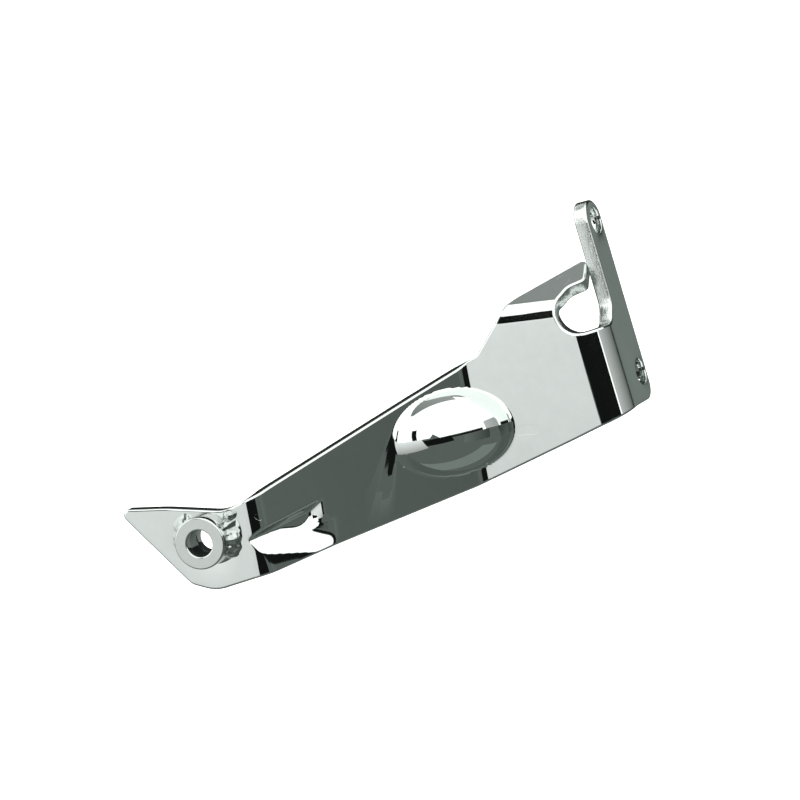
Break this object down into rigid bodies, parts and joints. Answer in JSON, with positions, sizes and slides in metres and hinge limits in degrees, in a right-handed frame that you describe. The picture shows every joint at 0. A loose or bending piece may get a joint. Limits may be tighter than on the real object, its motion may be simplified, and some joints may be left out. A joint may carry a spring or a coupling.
{
  "type": "offset mounting bracket",
  "caption": "Rigid pressed-steel bracket: a drilled flange, an arm bent to one side with a dome and a pocket pressed in, and a welded bush on its pointed tip.",
  "frame": {"origin": "middle of the two bolt holes, on the flange's mounting face", "axes": "+X out of the mounting face, +Z along the line of the two bolts toward the ear, -Y the side that the arm's front faces"},
  "size_m": [0.1466, 0.0856, 0.0806],
  "materials": {
    "plate_chrome": "polished steel plate with bright chrome plating",
    "bush_chrome": "turned face, bright chrome plating",
    "weld_chrome": "rippled weld bead, chrome plated over"
  },
  "bodies": {
    "root": {"arm_plate": "plate_chrome", "bush": "bush_chrome", "weld_left": "weld_chrome", "weld_right": "weld_chrome"}
  },
  "joints": []
}
